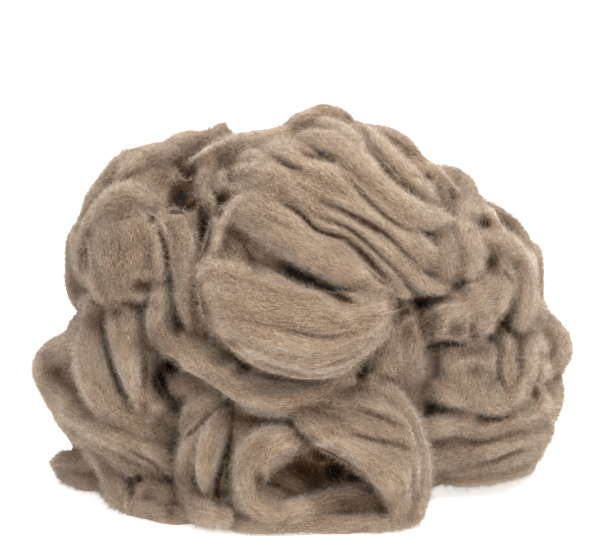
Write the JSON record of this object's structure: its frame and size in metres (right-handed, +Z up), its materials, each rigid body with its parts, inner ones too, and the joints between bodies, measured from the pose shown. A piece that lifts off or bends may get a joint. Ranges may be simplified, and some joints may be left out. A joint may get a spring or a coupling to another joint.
{
  "type": "wool roving",
  "caption": "Loose heap of natural taupe wool roving, one thick combed strand dropped in soft overlapping folds.",
  "frame": {"origin": "on the surface that the heap rests on, under the middle of its box", "axes": "+X to the heap's right seen from its front, +Y to its back, +Z up"},
  "size_m": [0.3269, 0.2639, 0.2307],
  "materials": {
    "wool": "matt combed wool, undyed taupe, softly hairy"
  },
  "bodies": {
    "root": {"roving": "wool"}
  },
  "joints": []
}
